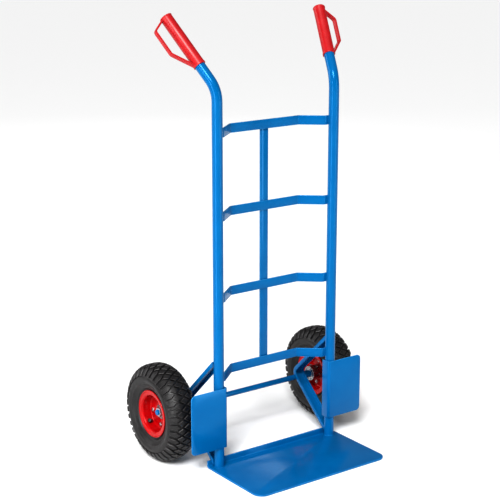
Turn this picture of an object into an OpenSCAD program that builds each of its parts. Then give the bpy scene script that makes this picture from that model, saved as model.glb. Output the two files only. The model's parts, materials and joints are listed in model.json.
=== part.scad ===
// Two-wheeled hand truck: a welded tube frame with a toe plate, and two pneumatic wheels
// that turn on one fixed axle bar. Millimetres. The floor is Z = 0, X = 0 is the middle,
// Y = 0 is the plane of the two upright tubes, the toe plate points to -Y and the wheels
// stand at +Y.

/* [Frame tubes] */
// Outside diameter of the two frame tubes
tube_d = 27; // [22:1:32]
// Wall thickness of the frame tubes
tube_wall = 2; // [1.5:0.5:3]
// Distance between the centre lines of the two upright tubes
upright_spacing = 368; // [300:2:390]
// Height of the corner where the upright turns into the handle
bend_height = 988; // [960:1:1200]
// Radius of the tube bend, on the tube's centre line
bend_radius = 80; // [60:5:100]
// Angle by which the handle leans back from the upright
handle_lean = 41.5; // [30:0.5:55]
// Angle by which the handle points outward, seen from above
handle_splay = 22.5; // [0:0.5:35]
// Length of the handle from the corner to the end of the tube
handle_length = 221; // [200:1:270]

/* [Crossbars] */
// Height of each flat crossbar
bar_h = 24; // [18:1:32]
// Thickness of the crossbars
bar_t = 4; // [3:0.5:6]
// Distance from the corner of the tubes down to the top edge of the top crossbar
bar_drop = 96; // [60:1:160]
// Gap between the top of the wheel guards and the bottom crossbar
bar_guard_gap = 10; // [2:1:60]
// Depth of the bow: front face of the middle stretch behind the tube centres
bar_bow = 50; // [35:1:60]
// Run of each sloping stretch, measured across the truck
bar_slope_run = 52; // [46:1:80]
// Length of each straight end, measured from the tube's centre line
bar_end = 24; // [20:1:30]
// Front face of the straight ends behind the tube centres
bar_end_y = 6; // [3:0.5:7]
// Inside radius of the bends in the crossbars
bar_bend_r = 6; // [3:1:10]
// Width of the centre strip that joins the backs of the crossbars
strip_w = 25; // [18:1:35]
// Thickness of the centre strip
strip_t = 4; // [3:0.5:6]
// Distance from the strip's ends to the outer edges of the top and bottom crossbars
strip_inset = 3; // [0:1:8]

/* [Toe plate] */
// Distance by which the toe plate stands out beyond each tube
toe_overhang = 13.5; // [0:0.5:50]
// Reach of the toe plate in front of the tube centres
toe_reach = 212; // [150:2:300]
// Thickness of the toe plate
toe_t = 4; // [3:0.5:6]
// Height of the plate's upturned rear lip above the floor
lip_h = 20; // [14:1:24]
// Inside radius of the bend at the rear lip
lip_bend_r = 3; // [1:0.5:5]
// Radius of the plate's front corners
toe_corner_r = 28; // [5:1:60]

/* [Wheel guards] */
// Width of each guard plate, from the tube's inner side outward
guard_w = 112; // [60:1:114]
// Height of each guard plate
guard_h = 162; // [100:1:165]
// Height of the guard's lower edge above the floor
guard_z = 60; // [50:1:65]
// Thickness of the guard plate
guard_t = 3; // [2:0.5:4]
// Depth of the flange that wraps the inner side of the tube
guard_flange = 28; // [18:1:30]
// Inside radius of the bend between plate and flange
guard_bend_r = 4; // [2:0.5:6]
// Radius of the guard's two outer corners
guard_corner_r = 12; // [3:1:25]

/* [Axle brackets] */
// Width of the channel section of each axle bracket
bracket_w = 30; // [26:1:34]
// Depth of the channel section
bracket_depth = 10; // [6:0.5:12]
// Sheet thickness of the channel
bracket_t = 3; // [2:0.5:4]
// Distance from the tube's inner side out to the bracket's inner side
bracket_step = 1.5; // [0.5:0.5:3]
// Slope of the upper leg above the horizontal
upper_leg_angle = 44; // [38:0.5:48]
// Outside radius of the bend at the tip of the bracket
bracket_bend_r = 22; // [16:1:30]
// Distance behind the tube centres at which the legs' ends are cut off
bracket_cut_y = 4; // [0:0.5:6]
// Room between the lower leg and the front edge of the toe plate's lip
bracket_lip_gap = 0.6; // [0.4:0.1:3]
// Depth of the seat in the lower leg that the axle bar is welded into
axle_seat = 1.5; // [1:0.25:2]
// Length by which the axle's seat reaches into the bend at the bracket's tip
seat_in_bend = 3.6; // [0:0.2:5]

/* [Axle] */
// Diameter of the axle bar
axle_d = 15; // [13:0.5:17]
// Depth of the shoulder at which each threaded end of the axle bar starts
axle_shoulder = 0.5; // [0.25:0.25:2]
// Length of thread that stands out of each axle nut
thread_end = 4.5; // [1:0.5:8]
// Distance of the tyres' front behind the tube centres
wheel_gap = 14; // [4:1:40]
// Wall thickness of the spacers between the brackets and the wheels
spacer_wall = 3; // [1.5:0.5:5]
// Length of the spacers between the brackets and the wheels
spacer_l = 27.2; // [12:0.2:60]
// Wall thickness of the distance sleeves between the bearings
sleeve_wall = 2; // [1:0.5:3]
// Width of the axle washers' ring
washer_ring = 7; // [4:0.5:9]
// Thickness of the axle washers
washer_t = 2.5; // [1.5:0.5:3]
// Thickness of the axle nuts around the thread, at the middle of a flat
nut_wall = 4; // [2.5:0.5:5]
// Height of the axle nuts
nut_h = 7.5; // [6:0.5:14]

/* [Wheels] */
// Outside diameter of the tyre
wheel_d = 260; // [230:2:284]
// Width of the tyre
tyre_w = 88; // [80:1:92]
// Thickness of the tyre's wall
tyre_wall = 8; // [6:0.5:10]
// Radius of the tyre's shoulders
shoulder_r = 36; // [30:1:38]
// Room between the tyre and its inner tube
tube_gap = 0.3; // [0.2:0.1:1]
// Wall thickness of the inner tube
inner_tube_wall = 2; // [1.5:0.5:3]
// Turn of the left wheel as it stands
left_turn = -8; // [-45:1:45]
// Turn of the right wheel as it stands
right_turn = 10; // [-45:1:45]

/* [Rims] */
// Diameter of the bead seat of the rim
bead_d = 101.6; // [98:0.2:106]
// Diameter over the rim's flanges
rim_flange_d = 127; // [122:1:132]
// Distance between the rim's two flanges, inside
rim_w = 56; // [50:1:60]
// Sheet thickness of the rim halves
rim_t = 2.5; // [1.5:0.25:3]
// Inside radius of the bends in the rim halves
rim_bend_r = 4; // [2:0.5:5]
// Radius of the rolled edge of each flange
rim_edge_r = 2; // [1.6:0.1:2.5]
// Radius of the circle of rim bolts
bolt_circle_r = 34; // [31:0.5:36]
// Number of rim bolts
bolt_count = 4; // [3:1:6]
// Diameter of the rim bolts
bolt_d = 6; // [5:1:7]
// Width across flats of the rim bolts' heads and nuts
bolt_af = 10; // [9:0.5:12]
// Height of the rim bolts' heads
bolt_head_h = 4; // [3:0.5:6]
// Height of the rim bolts' nuts
bolt_nut_h = 5; // [4:0.5:7]
// Length of thread that stands out of each rim nut
bolt_end = 2.5; // [0.5:0.5:5]
// Radius of the raised pad around each rim bolt
pad_r = 10; // [8:0.5:10]
// Height of the raised pads
pad_h = 1.5; // [0.5:0.25:2]

/* [Hub] */
// Wall thickness of the hub tube around the bearings
hub_wall = 3; // [2:0.5:4]
// Length of the hub tube, inward from the wheel's middle plane
hub_length = 40; // [36:1:44]
// Distance between the bore and the outside of the ball bearings
bearing_ring = 10; // [9.5:0.5:12]
// Width of the bearings' outer ring outside the seal
outer_race = 2; // [1:0.5:3]
// Width of the bearings' inner ring inside the seal
inner_race = 3; // [2:0.5:4]
// Width of the ball bearings
bearing_w = 11; // [8:0.5:12]
// Depth of the bearings behind the ends of the hub tube
bearing_inset = 1.5; // [0.5:0.5:3]
// Depth of the sealed ring in each face of the bearings
seal_depth = 0.8; // [0.4:0.2:1.2]
// Radial clearance between the axle bar and the bearings
bearing_clearance = 0.05; // [0.02:0.01:0.1]
// Axial play between a turning bearing and what stands still beside it
side_play = 0.3; // [0.2:0.1:0.6]

/* [Valves] */
// Diameter of the valve stem
valve_d = 8; // [6:0.5:9]
// Diameter of the valve cap
valve_cap_d = 10; // [9:0.5:12]
// Length of the valve cap
valve_cap_l = 10; // [8:1:14]
// Room between the valve cap and the rim
valve_gap = 0.3; // [0.2:0.1:1]
// Distance from the wheel's middle plane at which the valve leaves the bead seat
valve_out = 9; // [8:0.5:12]
// Tilt of the valve from the radial direction toward the outside
valve_tilt = 45; // [30:1:50]
// Angle from the first rim bolt to the valve
valve_angle = -39; // [-50:1:-35]

/* [Grips] */
// Wall thickness of the grips around the tubes
grip_wall = 2; // [1.5:0.5:5]
// Length of the grips
grip_length = 150; // [130:1:160]
// Thickness of the grip's closed end
grip_end = 3; // [2:0.5:5]
// Height of the rims around both ends of the grip
grip_rim = 1; // [0.5:0.25:2]
// Length of the rim at the open end, along the grip
grip_rim_l = 4; // [2:0.5:8]
// Radius of the round rim at the closed end
grip_round = 2; // [1:0.5:3]
// Finger room between the grip and its guard loop
loop_gap = 31; // [25:1:45]
// Thickness of the loop's band
loop_t = 4.5; // [3:0.5:6]
// Width of the loop's band
loop_w = 11; // [8:0.5:15]
// Distance from the grip's closed end to the inner face of the loop's upper foot
loop_top_foot = 5.4; // [5:0.2:8]
// Distance from the grip's open end to the inner face of the loop's lower foot
loop_low_foot = 2.25; // [0.75:0.25:6]
// Distance from the grip's closed end to the loop's upper bend
loop_upper = 25; // [18:1:35]
// Distance from the grip's closed end to the loop's lower bend
loop_lower = 93; // [80:1:100]
// Inside radius of the loop's bends
loop_bend_r = 7; // [4:0.5:12]
// Turn of the loop from sideways toward the rear
loop_turn = 27; // [0:1:60]

/* [Hidden] */
$fn = 96;
LEFT = -1;
RIGHT = 1;
BLUE = "#0a6fc0";
RED = "#c9141c";
BLACK = "#2b2b2d";
ZINC = "#c4c8cc";
eps = 0.01;        // overshoot of a cutting tool past the face it cuts
arc_step = 5;      // largest angle between two points on a bend of a sheet
bend_step = 0.05;  // how much thinner a tube's bend is drawn than the tube, all round
bend_lap = 1;      // angle by which a tube's bend runs into the straight lengths

tube_x = upright_spacing / 2;
tube_r = tube_d / 2;
handle_trim = bend_radius * tan(handle_lean / 2);
toe_w = upright_spacing + tube_d + 2 * toe_overhang;

// Crossbars: the top edges of the top and the bottom one, and what lies between two
bar_top_z = bend_height - bar_drop;
bar_low_z = guard_z + guard_h + bar_guard_gap + bar_h;
bar_pitch = (bar_top_z - bar_low_z) / 3;

wheel_r = wheel_d / 2;
axle_r = axle_d / 2;
axle_y = wheel_r + wheel_gap;
axle_z = wheel_r;

// Lower bracket leg: its outer face starts just above the front edge of the toe plate's
// lip and runs up to the axle bar, which sits axle_seat deep in it. Points are [Y, Z].
axle_point = [axle_y, axle_z];
leg_foot = [tube_r, lip_h + bracket_lip_gap];
seat_r = axle_r - axle_seat;
lower_leg_angle = heading(leg_foot, axle_point) + asin(seat_r / norm(axle_point - leg_foot));
lower_leg = [cos(lower_leg_angle), sin(lower_leg_angle)];
seat_point = axle_point + seat_r * [-lower_leg[1], lower_leg[0]];
bracket_turn = 180 - upper_leg_angle - lower_leg_angle;
leg_corner = seat_point + (bracket_bend_r * tan(bracket_turn / 2) - seat_in_bend) * lower_leg;
bracket_line = [
  [0, leg_foot[1] - tube_r * tan(lower_leg_angle)],
  leg_corner,
  [0, leg_corner[1] + leg_corner[0] * tan(upper_leg_angle)]];

// Places along the axle, measured outward from the middle of the truck
bracket_x = tube_x - tube_r + bracket_step + bracket_w / 2;
bracket_side_x = bracket_x + bracket_w / 2;
inner_bearing_x = bracket_side_x + spacer_l + side_play;
wheel_x = inner_bearing_x - bearing_inset + hub_length;
outer_bearing_x = wheel_x + rim_t - bearing_inset - bearing_w;
washer_x = outer_bearing_x + bearing_w + side_play;
nut_x = washer_x + washer_t;
axle_end_x = nut_x + nut_h + thread_end;

// Radii of what lies around the axle, and of the rim
thread_r = axle_r - axle_shoulder;
bearing_r = axle_r + bearing_ring;
hub_r = bearing_r + hub_wall;
bead_r = bead_d / 2;
flange_r = rim_flange_d / 2;

// Length of valve stem at which the edge of its cap clears the rim's barrel
valve_stem_l =
  (rim_t + valve_gap + valve_cap_d / 2 * sin(valve_tilt)) / cos(valve_tilt);

// ---- helpers ----

// Direction of the line from a to b
function heading(a, b) = atan2(b[1] - a[1], b[0] - a[0]);

// Turn from heading a to heading b, between -180 and 180
function turn_between(a, b) = let (d = b - a) d > 180 ? d - 360 : d < -180 ? d + 360 : d;

// Point at a distance along and a distance to the left of heading h from the point p
function step_from(p, h, along, left) =
  p + along * [cos(h), sin(h)] + left * [-sin(h), cos(h)];

// Points of one bend of a sheet at the depth d: the line through p turns by v from heading h
function bend_points(p, h, v, t, r, d) =
  let (
    left = v > 0,
    line_r = left ? r + t : r,
    centre = step_from(p, h, -line_r * tan(abs(v) / 2), left ? line_r : -line_r),
    depth_r = left ? line_r - d : line_r + d,
    count = ceil(abs(v) / arc_step))
  [for (k = [0:count]) centre + depth_r * (left ? 1 : -1)
    * [sin(h + v * k / count), -cos(h + v * k / count)]];

// Points of a bent sheet at the depth d from the line through pts
function layer_edge(pts, t, r, d) =
  let (
    last = len(pts) - 1,
    heads = [for (i = [1:last]) heading(pts[i - 1], pts[i])])
  [step_from(pts[0], heads[0], 0, d),
   for (i = [1:last - 1])
     each bend_points(pts[i], heads[i - 1], turn_between(heads[i - 1], heads[i]), t, r, d),
   step_from(pts[last], heads[last - 1], 0, d)];

// Cross-section of a bent sheet that lies on the left of the line through pts. The sheet is
// t thick and is bent at every inner point with inside radius r. Only the layer of it
// between the depths a and b from the line is drawn.
module bent_layer(pts, t, r, a, b) {
  far_edge = layer_edge(pts, t, r, b);
  polygon([
    each layer_edge(pts, t, r, a),
    for (i = [len(far_edge) - 1:-1:0]) far_edge[i]]);
}

// Cross-section of the whole bent sheet
module bent_sheet(pts, t, r) bent_layer(pts, t, r, 0, t);

// What a fillet of radius r takes off a square corner at the origin
module corner_waste(r) {
  difference() {
    translate([-eps, -eps]) square(r + eps);
    translate([r, r]) circle(r);
  }
}

// Extrudes a shape drawn in Y and Z along X, over a width w around the plane X = x
module along_x(w, x) translate([x - w / 2, 0, 0]) rotate([90, 0, 90]) linear_extrude(w) children();

// Leaves the right-hand part as it is, or mirrors it to the left
module on_side(side) {
  if (side == LEFT) mirror([1, 0, 0]) children();
  else children();
}

// Ring about Z from the plane Z = z upward
module ring(outer_r, inner_r, h, z) {
  translate([0, 0, z]) difference() {
    cylinder(r = outer_r, h = h);
    translate([0, 0, -eps]) cylinder(r = inner_r, h = h + 2 * eps);
  }
}

// Hexagonal prism with a width across flats of af
module hexagon(af, h) cylinder(r = af / 2 / cos(30), h = h, $fn = 6);

// Frame on the axle's line: Z points outward along the axle from the middle of the truck,
// X points to the rear and Y up
module on_axle(side) on_side(side) translate([0, axle_y, axle_z]) rotate([90, 0, 90]) children();

// Frame of a wheel, turned as it stands: Z points outward from the wheel's middle plane
module on_wheel(side) {
  on_axle(side) translate([0, 0, wheel_x]) rotate(side == LEFT ? left_turn : right_turn) children();
}

// ---- frame tubes and grips ----

// Frame of the right-hand handle: Z runs up the handle from the corner of the bend, and X
// lies in the plane of the bend and points to the rear and down
module on_handle() {
  translate([tube_x, 0, bend_height]) rotate([0, 0, 90 - handle_splay])
    rotate([0, handle_lean, 0]) children();
}

// Solid bar of diameter d along the right-hand tube, from the toe plate's top face. The bend
// is drawn thinner by bend_step and longer by bend_lap, so that its ends lie inside the
// straight lengths.
module tube_core(d) {
  bend_z = bend_height - handle_trim;
  translate([tube_x, 0, toe_t]) cylinder(d = d, h = bend_z - toe_t);
  translate([tube_x, 0, bend_z]) rotate([0, 0, 90 - handle_splay])
    translate([bend_radius, 0, 0]) rotate([90, 0, 0])
      rotate([0, 0, 180 - handle_lean - bend_lap])
        rotate_extrude(angle = handle_lean + 2 * bend_lap)
          translate([bend_radius, 0]) circle(d = d - 2 * bend_step);
  on_handle() translate([0, 0, handle_trim]) cylinder(d = d, h = handle_length - handle_trim);
}

module upright(side) color(BLUE) on_side(side) {
  difference() {
    tube_core(tube_d);
    tube_core(tube_d - 2 * tube_wall);
    toe_sheet();
  }
}

// The lower stretch of the right-hand tube as a cutter, for what is welded to it
module tube_cutter() translate([tube_x, 0, 0]) cylinder(d = tube_d, h = bend_height - handle_trim);

module grip(side) color(RED) on_side(side) on_handle() {
  top_z = handle_length + grip_end;
  grip_r = tube_r + grip_wall;
  end_x = grip_r + grip_rim - grip_round;
  // Inner face of the loop's band, as [distance outward, height], from its upper foot. The
  // feet start inside the bore, which then trims them to the grip's wall.
  foot_x = tube_r - loop_t;
  loop_x = grip_r + loop_gap;
  loop_line = [
    [foot_x, top_z - loop_top_foot],
    [loop_x, top_z - loop_upper],
    [loop_x, top_z - loop_lower],
    [foot_x, top_z - grip_length + loop_low_foot]];
  difference() {
    union() {
      rotate_extrude() {
        translate([0, top_z - grip_length]) square([grip_r, grip_length - grip_round]);
        translate([0, top_z - grip_round]) square([end_x, grip_round]);
        translate([end_x, top_z - grip_round]) circle(grip_round);
      }
      translate([0, 0, top_z - grip_length]) cylinder(r = grip_r + grip_rim, h = grip_rim_l);
      rotate([0, 0, loop_turn - 90]) rotate([90, 0, 0]) translate([0, 0, -loop_w / 2])
        linear_extrude(loop_w) bent_sheet(loop_line, loop_t, loop_bend_r);
    }
    translate([0, 0, top_z - grip_length - grip_end]) cylinder(d = tube_d, h = grip_length);
  }
}

// ---- welded flat parts ----

// Bowed flat bar between the tubes, number i from the top
module crossbar(i) color(BLUE) {
  knee_x = tube_x - bar_end;
  half = [[knee_x - bar_slope_run, bar_bow], [knee_x, bar_end_y], [tube_x, bar_end_y]];
  bar_line = [for (k = [2, 1, 0]) [-half[k][0], half[k][1]], each half];
  difference() {
    translate([0, 0, bar_top_z - (i - 1) * bar_pitch - bar_h]) linear_extrude(bar_h)
      bent_sheet(bar_line, bar_t, bar_bend_r);
    for (side = [LEFT, RIGHT]) on_side(side) tube_cutter();
  }
}

module centre_strip() color(BLUE) {
  strip_z = bar_low_z - bar_h + strip_inset;
  translate([-strip_w / 2, bar_bow + bar_t, strip_z])
    cube([strip_w, strip_t, bar_top_z - strip_inset - strip_z]);
}

// The toe plate with its rear lip, before its corners are rounded
module toe_sheet() {
  rear_y = tube_r + toe_t;
  along_x(toe_w, 0) bent_sheet([[-toe_reach, 0], [rear_y, 0], [rear_y, lip_h]], toe_t, lip_bend_r);
}

module toe_plate() color(BLUE) {
  difference() {
    toe_sheet();
    for (side = [LEFT, RIGHT])
      on_side(side) translate([toe_w / 2, -toe_reach, -eps]) mirror([1, 0, 0])
        linear_extrude(toe_t + 2 * eps) corner_waste(toe_corner_r);
  }
}

// Plate in front of a wheel, with a flange that wraps the inner side of the tube
module wheel_guard(side) color(BLUE) on_side(side) {
  edge_x = tube_x - tube_r - guard_t;
  front_y = -tube_r - guard_t;
  guard_line = [[edge_x, front_y + guard_flange], [edge_x, front_y], [edge_x + guard_w, front_y]];
  difference() {
    translate([0, 0, guard_z]) linear_extrude(guard_h)
      bent_sheet(guard_line, guard_t, guard_bend_r);
    for (top = [0, 1])
      translate([edge_x + guard_w, front_y + guard_t + eps, guard_z + top * guard_h])
        rotate([90, 0, 0]) mirror([1, 0, 0]) mirror([0, top, 0])
          linear_extrude(guard_t + 2 * eps) corner_waste(guard_corner_r);
  }
}

// ---- axle, its brackets and what stands still on it ----

// Layer of the bracket's channel between the depths a and b behind its outer face
module bracket_layer(a, b) {
  bent_layer(bracket_line, bracket_depth, bracket_bend_r - bracket_depth, a, b);
}

// Channel bent into a "<" that opens to the front; its ends are coped around the tube
module axle_bracket(side) color(BLUE) on_side(side) {
  difference() {
    along_x(bracket_w, bracket_x) bracket_layer(0, bracket_depth);
    along_x(bracket_w - 2 * bracket_t, bracket_x) bracket_layer(bracket_t, bracket_depth + 1);
    tube_cutter();
    translate([bracket_x - bracket_w, bracket_cut_y - 2 * tube_d, 0])
      cube([2 * bracket_w, 2 * tube_d, bend_height]);
    along_x(2 * bracket_w, bracket_x) translate(axle_point) circle(r = axle_r);
  }
}

module axle_bar() color(BLUE) translate([0, axle_y, axle_z]) rotate([90, 0, 90]) {
  translate([0, 0, -washer_x]) cylinder(d = axle_d, h = 2 * washer_x);
  translate([0, 0, -axle_end_x]) cylinder(r = thread_r, h = 2 * axle_end_x);
}

module spacer(side) color(BLUE) on_axle(side) {
  ring(axle_r + spacer_wall, axle_r, spacer_l, bracket_side_x);
}

module distance_sleeve(side) color(ZINC) on_axle(side) {
  sleeve_x = inner_bearing_x + bearing_w + side_play;
  ring(axle_r + sleeve_wall, axle_r, outer_bearing_x - side_play - sleeve_x, sleeve_x);
}

module axle_washer(side) color(ZINC) on_axle(side) {
  ring(thread_r + washer_ring, thread_r, washer_t, washer_x);
}

module axle_nut(side) color(ZINC) on_axle(side) translate([0, 0, nut_x]) {
  difference() {
    hexagon(2 * (thread_r + nut_wall), nut_h);
    translate([0, 0, -eps]) cylinder(r = thread_r, h = nut_h + 2 * eps);
  }
}

// ---- wheels: cross-sections are drawn as [radius, distance outward] ----

// Sheet of the outer rim half: disc, barrel with the bead seat, and flange
module rim_section() {
  rim_line = [[hub_r, 0], [bead_r, 0], [bead_r, rim_w / 2], [flange_r - rim_edge_r, rim_w / 2]];
  bent_sheet(rim_line, rim_t, rim_bend_r);
  translate([flange_r - rim_edge_r, rim_w / 2 + rim_edge_r]) circle(rim_edge_r);
}

// Solid section of the tyre, inset by k, from the radius foot_r outward
module tyre_shape(k, foot_r) {
  crown_r = wheel_r - shoulder_r;
  crown_x = tyre_w / 2 - shoulder_r;
  bead_x = rim_w / 2 - k;
  wall_x = tyre_w / 2 - k;
  neck_r = flange_r + rim_edge_r;
  for (y = [-crown_x, crown_x]) translate([crown_r, y]) circle(shoulder_r - k);
  translate([crown_r, -crown_x]) square([shoulder_r - k, 2 * crown_x]);
  polygon([
    [foot_r, -bead_x], [neck_r, -bead_x], [crown_r, -wall_x],
    [crown_r, wall_x], [neck_r, bead_x], [foot_r, bead_x]]);
}

module tyre(side) color(BLACK) on_wheel(side) rotate_extrude() {
  difference() {
    tyre_shape(0, bead_r);
    tyre_shape(tyre_wall, bead_r - eps);
    rim_section();
    mirror([0, 1]) rim_section();
  }
}

module inner_tube(side) color(BLACK) on_wheel(side) rotate_extrude() {
  difference() {
    tyre_shape(tyre_wall + tube_gap, bead_r);
    tyre_shape(tyre_wall + tube_gap + inner_tube_wall, bead_r + inner_tube_wall);
  }
}

// Places something at each rim bolt
module at_bolts() {
  for (i = [0:bolt_count - 1]) rotate(i * 360 / bolt_count) translate([bolt_circle_r, 0, 0])
    children();
}

// Rim half on the outer side of the middle plane, with its pads and bolt holes
module rim_half() {
  difference() {
    union() {
      rotate_extrude() rim_section();
      at_bolts() cylinder(r = pad_r, h = rim_t + pad_h);
    }
    translate([0, 0, -eps]) cylinder(r = hub_r, h = rim_w);
    at_bolts() translate([0, 0, -eps]) cylinder(d = bolt_d, h = rim_w);
  }
}

module outer_rim(side) color(RED) on_wheel(side) {
  difference() {
    rim_half();
    on_valve() cylinder(d = valve_d, h = 2 * valve_stem_l, center = true);
  }
}

module inner_rim(side) color(RED) on_wheel(side) mirror([0, 0, 1]) rim_half();

module hub(side) color(BLACK) on_wheel(side) {
  ring(hub_r, bearing_r, hub_length + rim_t, -hub_length);
}

// Sealed ball bearing, from the place x along the axle outward
module bearing(side, x) color(ZINC) on_axle(side) {
  race_r = axle_r + inner_race;
  seal_r = bearing_r - outer_race;
  difference() {
    ring(bearing_r, axle_r + bearing_clearance, bearing_w, x);
    ring(seal_r, race_r, seal_depth + eps, x - eps);
    ring(seal_r, race_r, seal_depth + eps, x + bearing_w - seal_depth);
  }
}

module rim_bolts(side) color(ZINC) on_wheel(side) at_bolts() {
  seat_z = rim_t + pad_h;
  translate([0, 0, seat_z]) hexagon(bolt_af, bolt_head_h);
  translate([0, 0, -seat_z - bolt_nut_h - bolt_end])
    cylinder(d = bolt_d, h = 2 * seat_z + bolt_nut_h + bolt_end);
}

module rim_nuts(side) color(ZINC) on_wheel(side) at_bolts() {
  translate([0, 0, -rim_t - pad_h - bolt_nut_h]) difference() {
    hexagon(bolt_af, bolt_nut_h);
    translate([0, 0, -eps]) cylinder(d = bolt_d, h = bolt_nut_h + 2 * eps);
  }
}

// Frame of the valve: Z runs out along the stem from the bead seat
module on_valve() {
  rotate(valve_angle) translate([bead_r, 0, valve_out]) rotate([0, valve_tilt - 90, 0]) children();
}

module valve_stem(side) color(BLACK) on_wheel(side) {
  difference() {
    on_valve() translate([0, 0, -valve_stem_l]) cylinder(d = valve_d, h = 2 * valve_stem_l);
    rotate_extrude() tyre_shape(tyre_wall + tube_gap, bead_r);
  }
}

module valve_cap(side) color(BLACK) on_wheel(side) on_valve() {
  translate([0, 0, valve_stem_l]) cylinder(d = valve_cap_d, h = valve_cap_l);
}

upright(LEFT);  // left_upright
upright(RIGHT);  // right_upright
crossbar(1);  // crossbar_1
crossbar(2);  // crossbar_2
crossbar(3);  // crossbar_3
crossbar(4);  // crossbar_4
centre_strip();
toe_plate();
wheel_guard(LEFT);  // left_wheel_guard
wheel_guard(RIGHT);  // right_wheel_guard
axle_bracket(LEFT);  // left_axle_bracket
axle_bracket(RIGHT);  // right_axle_bracket
axle_bar();
spacer(LEFT);  // left_spacer
spacer(RIGHT);  // right_spacer
distance_sleeve(LEFT);  // left_distance_sleeve
distance_sleeve(RIGHT);  // right_distance_sleeve
axle_washer(LEFT);  // left_axle_washer
axle_washer(RIGHT);  // right_axle_washer
axle_nut(LEFT);  // left_axle_nut
axle_nut(RIGHT);  // right_axle_nut
grip(LEFT);  // left_grip
grip(RIGHT);  // right_grip
tyre(LEFT);  // left_tyre
inner_tube(LEFT);  // left_inner_tube
outer_rim(LEFT);  // left_outer_rim
inner_rim(LEFT);  // left_inner_rim
hub(LEFT);  // left_hub
bearing(LEFT, outer_bearing_x);  // left_outer_bearing
bearing(LEFT, inner_bearing_x);  // left_inner_bearing
rim_bolts(LEFT);  // left_rim_bolts
rim_nuts(LEFT);  // left_rim_nuts
valve_stem(LEFT);  // left_valve_stem
valve_cap(LEFT);  // left_valve_cap
tyre(RIGHT);  // right_tyre
inner_tube(RIGHT);  // right_inner_tube
outer_rim(RIGHT);  // right_outer_rim
inner_rim(RIGHT);  // right_inner_rim
hub(RIGHT);  // right_hub
bearing(RIGHT, outer_bearing_x);  // right_outer_bearing
bearing(RIGHT, inner_bearing_x);  // right_inner_bearing
rim_bolts(RIGHT);  // right_rim_bolts
rim_nuts(RIGHT);  // right_rim_nuts
valve_stem(RIGHT);  // right_valve_stem
valve_cap(RIGHT);  // right_valve_cap
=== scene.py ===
"""Looks of a two-wheeled hand truck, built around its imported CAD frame. Metres."""

import json
import logging
import math
from collections.abc import Iterable
from dataclasses import dataclass
from enum import Enum

import bmesh
import bpy
from mathutils import Matrix, Vector


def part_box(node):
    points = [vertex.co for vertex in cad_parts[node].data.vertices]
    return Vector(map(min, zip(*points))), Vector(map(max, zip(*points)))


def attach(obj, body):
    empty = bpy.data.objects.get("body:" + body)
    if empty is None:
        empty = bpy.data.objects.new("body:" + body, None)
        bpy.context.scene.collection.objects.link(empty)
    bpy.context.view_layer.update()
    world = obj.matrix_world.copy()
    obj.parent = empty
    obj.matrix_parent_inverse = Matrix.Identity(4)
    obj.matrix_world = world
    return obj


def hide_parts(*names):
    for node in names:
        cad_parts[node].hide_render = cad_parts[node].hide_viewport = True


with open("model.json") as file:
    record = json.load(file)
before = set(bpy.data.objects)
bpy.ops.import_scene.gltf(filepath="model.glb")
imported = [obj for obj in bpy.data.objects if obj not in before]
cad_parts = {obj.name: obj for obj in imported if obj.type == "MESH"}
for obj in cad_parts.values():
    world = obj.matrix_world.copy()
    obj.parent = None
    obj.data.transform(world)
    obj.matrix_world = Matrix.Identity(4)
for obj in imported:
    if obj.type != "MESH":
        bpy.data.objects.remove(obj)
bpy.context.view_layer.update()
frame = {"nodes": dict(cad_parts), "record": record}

log = logging.getLogger("hand_truck")
MM = 0.001


class Side(Enum):
    """The two sides of the truck, with the sign of their X."""

    LEFT = -1
    RIGHT = 1

    def node(self, name: str) -> str:
        """Name of this side's CAD node or body."""
        return f"{self.name.lower()}_{name}"


# ---- materials ----

FULL = (0.0, 1.0)
# Layers of noise in the drift of the tone, in the fine relief and in the scratches
MOTTLE_DETAIL = 3.0
GRAIN_DETAIL = 2.0
SCRATCH_DETAIL = 1.0
# The part of the noise's range over which the tone, the roughness and the painted edge highlight drift
TONE_BAND = (0.35, 0.65)
ROUGH_BAND = (0.3, 0.7)
EDGE_HIGHLIGHT_BAND = (0.35, 0.6)
# Least strength of the painted edge highlight, where the noise is lowest
LEAST_EDGE_HIGHLIGHT = 0.4
# Handling scratches, drawn wider than real hairlines so that they show: the lines, the patches
# of the surface that have them, and how much rougher they are than the paint
SCRATCH_LENGTH_MM = 70.0
SCRATCH_WIDTH_MM = 1.2
SCRATCH_TURN = (0.4, 0.3, 0.7)
SCRATCH_LINES = (0.68, 0.74)
SCRATCH_PATCH_MM = 90.0
SCRATCH_PATCHES = (0.5, 0.62)
SCRATCH_DULLNESS = 0.35
# Face attribute that is 1 on rounded edges, which take a painted highlight
EDGE_ATTRIBUTE = "edge_wear"


def linear(colour: str) -> tuple[float, float, float, float]:
    """Turns an sRGB hex colour into linear RGBA.

    Args:
        colour: Six hex digits, such as "0a6fc0".

    Returns:
        The linear red, green and blue, and an alpha of 1.
    """
    parts = [int(colour[i : i + 2], 16) / 255 for i in (0, 2, 4)]
    return (*((p / 12.92 if p <= 0.04045 else ((p + 0.055) / 1.055) ** 2.4) for p in parts), 1.0)


def per_metre(size_mm: float) -> float:
    """Texture scale at which one cell of a pattern is size_mm across."""
    return 1000 / size_mm


def add_node(
    tree: bpy.types.NodeTree, kind: str, inputs: dict | None = None, **settings: object
) -> bpy.types.Node:
    """Adds a node with its settings and links.

    Args:
        tree: The material's node tree.
        kind: The node's type.
        inputs: Socket name or number to a value, or to the output socket that feeds it.
        **settings: Properties of the node itself.

    Returns:
        The new node.
    """
    made = tree.nodes.new(kind)
    for name, value in settings.items():
        setattr(made, name, value)
    for key, value in (inputs or {}).items():
        if isinstance(value, bpy.types.NodeSocket):
            tree.links.new(value, made.inputs[key])
        else:
            made.inputs[key].default_value = value
    return made


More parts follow.
